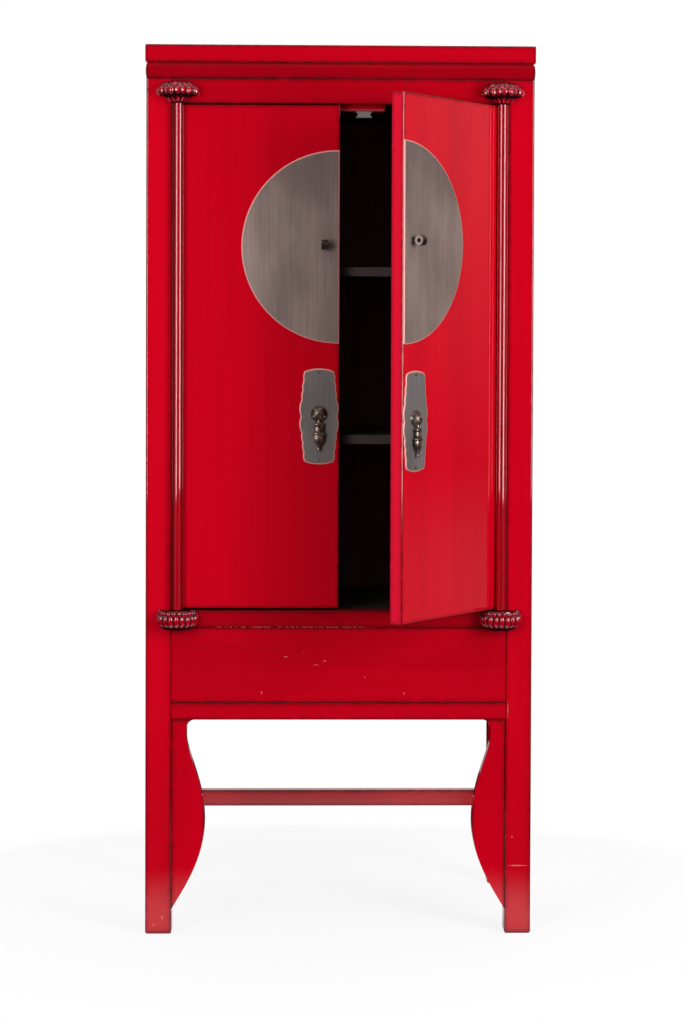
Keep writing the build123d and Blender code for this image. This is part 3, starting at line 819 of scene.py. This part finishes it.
def ring(shape, verts, count, turned):
    """Copies of the faces on some vertices, all round the axis."""
    edges = {edge for vert in verts for edge in vert.link_edges}
    faces = {face for vert in verts for face in vert.link_faces}
    bmesh.ops.rotate(shape, verts=verts, cent=(0, 0, 0), matrix=Matrix.Rotation(turned, 3, "Z"))
    bmesh.ops.spin(
        shape, geom=list(set(verts) | edges | faces), axis=(0, 0, 1), cent=(0, 0, 0),
        angle=2 * pi * (count - 1) / count, steps=count - 1, use_duplicate=True,
    )


def uneven(shape, amount):
    """Move the petals a little in, out, up and down on the way round. The bore in the middle stays true."""
    for vert in shape.verts:
        angle = atan2(vert.co.y, vert.co.x)
        share = amount * min(1.0, max(0.0, vert.co.xy.length / 20 - 0.9))
        vert.co.xy *= 1 + share * (sin(5 * angle + 1) + 0.8 * sin(11 * angle + 2) + 0.6 * sin(17 * angle))
        vert.co.z += 24 * share * (sin(7 * angle) + sin(13 * angle + 1))

# %% [markdown]
# The lower blossoms open upwards, round the foot of a rod, and the upper ones hang over its head. All have
# the same make-up, so a cup's outline and a list of rows describe each. A row is one petal's radii, foot,
# lean, curl and narrowing, then how many there are and how far they are turned.

# %% The two blossoms
PETALS = 20
BETWEEN = pi / PETALS
BORE = 4.55
CUP_STEPS = 80
HOLLOW, LIP = 0.1, 0.55
BLOSSOMS = {
    "lower": {
        "cup": [
            (0, 6), (15, 6), (26, 7), (33, 10), (37, 16), (38.5, 25), (38, 34), (36.5, 41), (38.5, 45),
            (37.5, 47.6), (34, 48), (30, 46), (16, 46.5), (BORE, 47), (BORE, 25), (0, 25),
        ],
        "lip_from": 44,
        "rows": [
            ((6.6, 7.4, 14.5), (36.6, 26), 2.2, 3.4, 0.3, PETALS, 0),
            ((6.2, 4.6, 8), (35.4, 39), 2, 1, 0.5, PETALS, BETWEEN),
            ((5.4, 4.2, 4.5), (24, 10.5), 4, 0, 0.3, 14, BETWEEN),
        ],
        "unevenness": 0.012,
    },
    "upper": {
        "cup": [
            (0, 30), (BORE, 30), (BORE, 0.3), (13, 0.3), (15, 2.5), (20, 8), (28, 13), (35, 19), (39, 26),
            (38, 34), (33, 40), (27, 43), (14, 45), (0, 47),
        ],
        "lip_from": 48,
        "rows": [
            ((7, 6.8, 10.5), (37.2, 25.5), -1, 3.2, 0.3, PETALS, 0),
            ((6.4, 4.4, 7), (33, 37), -5, 1, 0.3, PETALS, BETWEEN),
            ((4.6, 3.4, 6.6), (18.5, 7.4), 6, 0, 0.3, 12, 0),
        ],
        "unevenness": 0.03,
    },
}


def blossom(cup, lip_from, rows, unevenness):
    """A lotus around the upright axis, with the bore for the pin at one end."""
    shape = bmesh.new()
    crest = shape.verts.layers.float.new("crest")
    lathe(shape, cup, CUP_STEPS)
    for vert in shape.verts:
        vert[crest] = LIP if vert.co.z > lip_from else HOLLOW
    for *petal, count, turned in rows:
        ring(shape, egg(shape, crest, *petal), count, turned)
    uneven(shape, unevenness)
    return shape

# %% [markdown]
# The petals are glossy red on their bellies and nearly black between: dirt and old lacquer stay there, and the
# black is also painted shade in the gaps. The crest value was stored on every point while the petal was shaped, so
# the finish can follow the carving.
# What looks upwards is darker and less glossy, painted shade.

# %% Carved lacquer
carved = Finish("carved_lacquer")
crest = carved.node("ShaderNodeAttribute", {"attribute_name": "crest"}, output="Fac")
rough = carved.noise(carved.point(), 150, detail=4)
belly = (crest + (rough - 0.5) * 0.3).ramp(0.3, 0.95)
# painted shade: darker and less glossy where the carving looks upwards
shaded_top = (carved.facing(UPWARDS) + (rough - 0.5) * 0.8).ramp(0.3, 0.8) * 0.85
rubbed = (crest + (rough - 0.5) * 0.9).ramp(1.15, 1.4)
# nearly black between the petals: dirt, and painted shade in the gaps
red = carved.mix(belly, colour(48, 12, 17), colour(186, 2, 34))
red = carved.mix(shaded_top, red, colour(52, 14, 18))
carved.set(
    Base_Color=carved.mix(rubbed, red, colour(214, 120, 112)),
    Roughness=0.5,
    Specular_IOR_Level=0.0,
    Coat_Weight=crest.ramp(0.1, 0.6) * (1 - shaded_top * 0.9),
    Coat_Roughness=0.04,
    Coat_IOR=1.85,
    Normal=carved.bump(rough, 0.15 * MM),
)
print("the carved finish has", len(carved.tree.nodes), "nodes")

# %% [markdown]
# Each blossom is set on the axis of its pivot, at the height of the block that it replaces. The frame's face
# then cuts it in two: the back half would be inside the wood, so it is cleared away and the cut is closed.

# %% Place the four blossoms
for side, mirrored in (("left", MIRRORED), ("right", Matrix.Identity(4))):
    for level, parts in BLOSSOMS.items():
        node = f"lotus_{level}_{side}"
        low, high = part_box(node)
        shape = blossom(**parts)
        bmesh.ops.transform(shape, matrix=TO_METRES, verts=shape.verts)
        bmesh.ops.translate(shape, verts=shape.verts, vec=(PIVOT.x, PIVOT.y, low.z))
        geometry = shape.verts[:] + shape.edges[:] + shape.faces[:]
        cut = bmesh.ops.bisect_plane(
            shape, geom=geometry, plane_co=(0, FRAME_FACE, 0), plane_no=(0, 1, 0), clear_outer=True
        )
        rim = [part for part in cut["geom_cut"] if isinstance(part, bmesh.types.BMEdge)]
        bmesh.ops.edgeloop_fill(shape, edges=rim)
        piece(f"lotus_blossom_{level}_{side}", shape, [mirrored], node, carved)

# %% [markdown]
# ## Drop pulls
# The pulls are cast in one: a knuckle on the pin, a flat waist, a barrel between two flanges, and a bud
# that ends in a ball. They swing, so they ride on bodies of their own. All but the knuckle is one turned
# profile, pressed flat: that is quicker to draw than separate parts, and it has no seams.

# %% Shape of a drop
swing = next(joint for joint in frame["joints"] if joint["name"] == "pull_left_swing")
PULL_PIN = Vector((-swing["pos_m"][0], swing["pos_m"][1], swing["pos_m"][2]))
FLATNESS = 0.42
DROP = [
    (0, -6), (3.2, -7), (3.6, -10), (5, -13), (9, -14.6), (11.8, -15.2), (12.5, -16.4), (12, -18),
    (9.6, -19.3), (8.6, -21), (9.8, -24), (10.5, -27), (10, -30.5), (8.8, -33), (10.5, -34), (14, -34.6),
    (15, -36), (14, -37.6), (11, -38.6), (11.6, -41), (12, -45), (10.8, -50), (8, -56), (5, -61),
    (2.6, -64.5), (2.4, -66), (3.9, -68), (3.9, -70), (2.2, -71.8), (0, -72.4),
]
DROP_STEPS = 40
KNUCKLE = [(2.1, -4.5), (4.2, -4.5), (5, -3.7), (5, 3.7), (4.2, 4.5), (2.1, 4.5), (2.1, -4.5)]
KNUCKLE_STEPS = 32


def drop():
    """The swinging part of a pull, with its pin's axis at the origin."""
    shape = bmesh.new()
    lathe(shape, DROP[::-1], DROP_STEPS)
    bmesh.ops.scale(shape, vec=(1, FLATNESS, 1), verts=shape.verts)
    knuckle = bmesh.new()
    lathe(knuckle, KNUCKLE, KNUCKLE_STEPS)
    bmesh.ops.rotate(knuckle, verts=knuckle.verts, cent=(0, 0, 0), matrix=Matrix.Rotation(pi / 2, 3, "Y"))
    mesh = bpy.data.meshes.new("knuckle")
    knuckle.to_mesh(mesh)
    knuckle.free()
    shape.from_mesh(mesh)
    bpy.data.meshes.remove(mesh)
    return shape


for side, place in (("left", MIRRORED), ("right", OPENED)):
    at_pin = Matrix.Translation(PULL_PIN)
    piece("drop_pull_" + side, drop(), [TO_METRES, at_pin, place], "pull_drop_" + side, cast)
